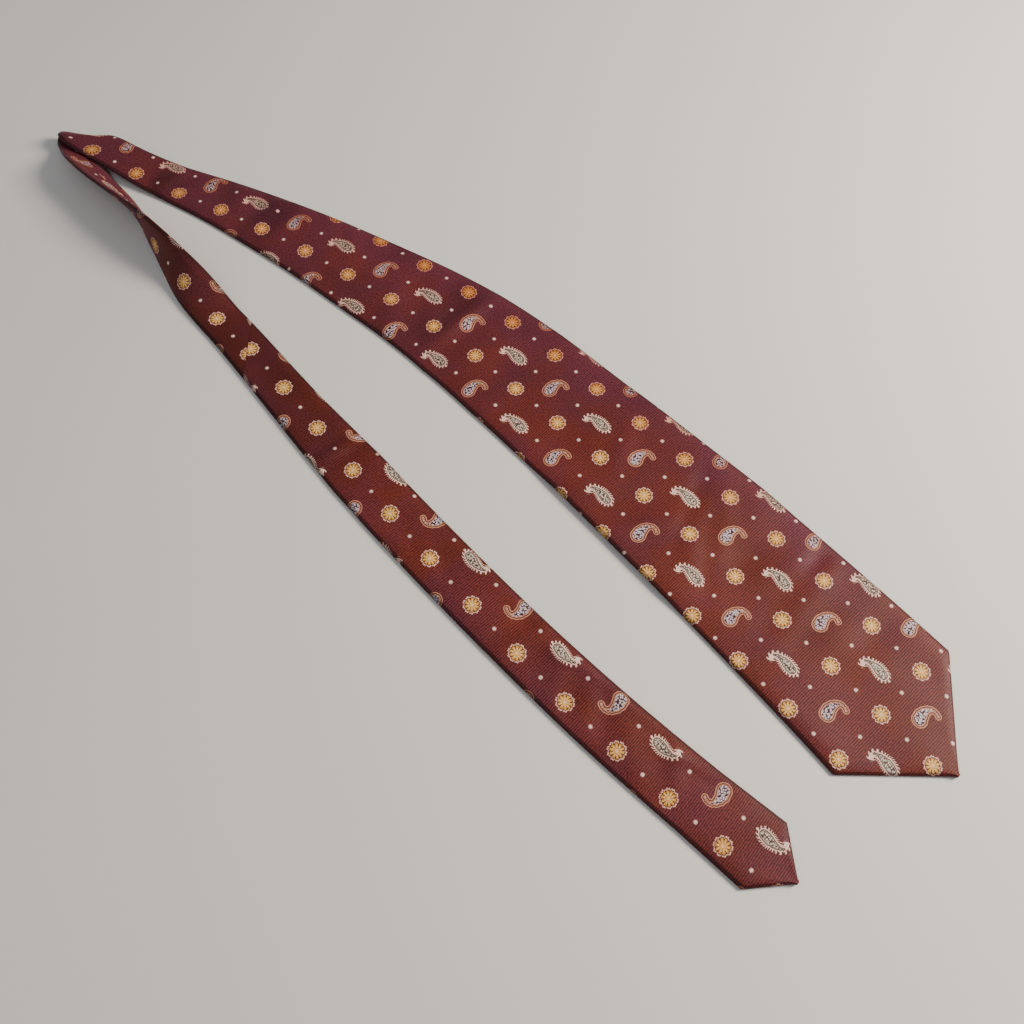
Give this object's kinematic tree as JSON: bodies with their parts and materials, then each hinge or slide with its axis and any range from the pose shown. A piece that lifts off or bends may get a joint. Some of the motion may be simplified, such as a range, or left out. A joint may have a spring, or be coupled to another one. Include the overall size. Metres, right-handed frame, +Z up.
{
  "type": "necktie",
  "caption": "Pointed silk necktie lying front up, folded back at the neck, with lined tips, an inner interlining and a keeper loop on its back.",
  "frame": {"origin": "on the table under the middle of the tie's box", "axes": "+X along the tie from the neck fold to the points, +Y from the tail towards the front blade, +Z up out of the front face"},
  "size_m": [0.689, 0.1922, 0.0266],
  "materials": {
    "jacquard_silk": "satin",
    "satin_tipping": "satin",
    "wool_interlining": "matte",
    "label_satin": "satin",
    "sewing_thread": "matte"
  },
  "bodies": {
    "front": {"front_blade_shell": "jacquard_silk", "front_neck_seam": "sewing_thread", "front_interlining": "wool_interlining", "front_tipping": "satin_tipping", "front_bar_tack": "sewing_thread", "front_slip_stitch": "sewing_thread", "keeper_loop": "jacquard_silk", "keeper_stitch_near": "sewing_thread", "keeper_stitch_far": "sewing_thread", "maker_label": "label_satin", "care_label": "label_satin"},
    "tail": {"neck_shell": "jacquard_silk", "tail_neck_seam": "sewing_thread", "tail_shell": "jacquard_silk", "tail_interlining": "wool_interlining", "tail_tipping": "satin_tipping", "tail_bar_tack": "sewing_thread", "tail_slip_stitch": "sewing_thread"}
  },
  "joints": [
    {"name": "tail_swing", "type": "hinge", "parent": "front", "child": "tail", "pos_m": [-0.23028, -0.03624, 0.013], "axis": [0, 0, 1], "range_deg": [-30, 3]}
  ]
}
